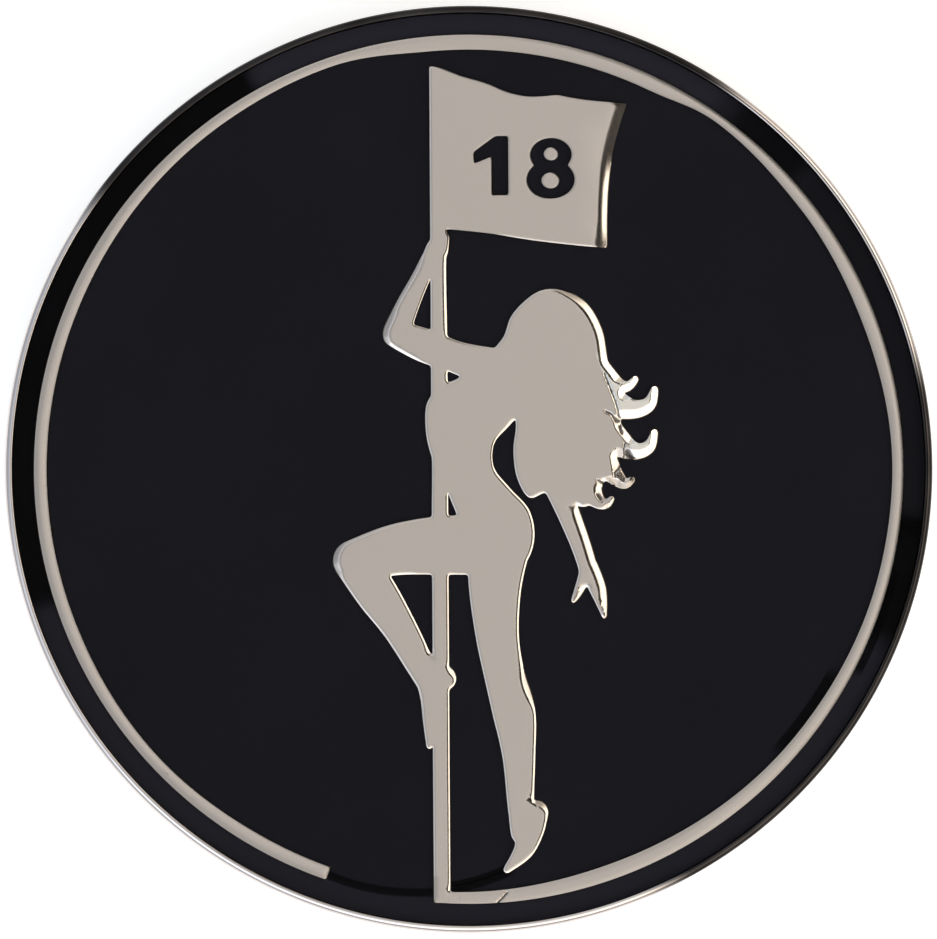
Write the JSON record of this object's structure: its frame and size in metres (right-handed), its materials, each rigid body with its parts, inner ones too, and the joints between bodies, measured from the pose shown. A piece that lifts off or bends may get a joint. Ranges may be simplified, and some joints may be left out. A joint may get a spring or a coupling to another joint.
{
  "type": "golf ball marker",
  "caption": "Round struck-metal golf ball marker with a flag and dancer silhouette in bright relief, black enamel in its recesses and a clear epoxy dome over the face.",
  "frame": {"origin": "centre of the flat back, on the surface that the marker lies on", "axes": "+Z out of the enamelled face, +Y along the pole towards its flag, +X to the viewer's right when looking down on the face"},
  "size_m": [0.0254, 0.0254, 0.0024],
  "materials": {
    "nickel_plate": "bright nickel plate, softly polished on its raised faces",
    "black_enamel": "glossy black enamel fill",
    "clear_epoxy": "clear glossy epoxy dome"
  },
  "bodies": {
    "root": {"struck_body": "nickel_plate", "enamel_field": "black_enamel", "enamel_elbow_gap": "black_enamel", "enamel_underarm_gap": "black_enamel", "enamel_waist_gap": "black_enamel", "enamel_knee_gap": "black_enamel", "enamel_numeral_1": "black_enamel", "enamel_numeral_8": "black_enamel", "epoxy_dome": "clear_epoxy"}
  },
  "joints": []
}
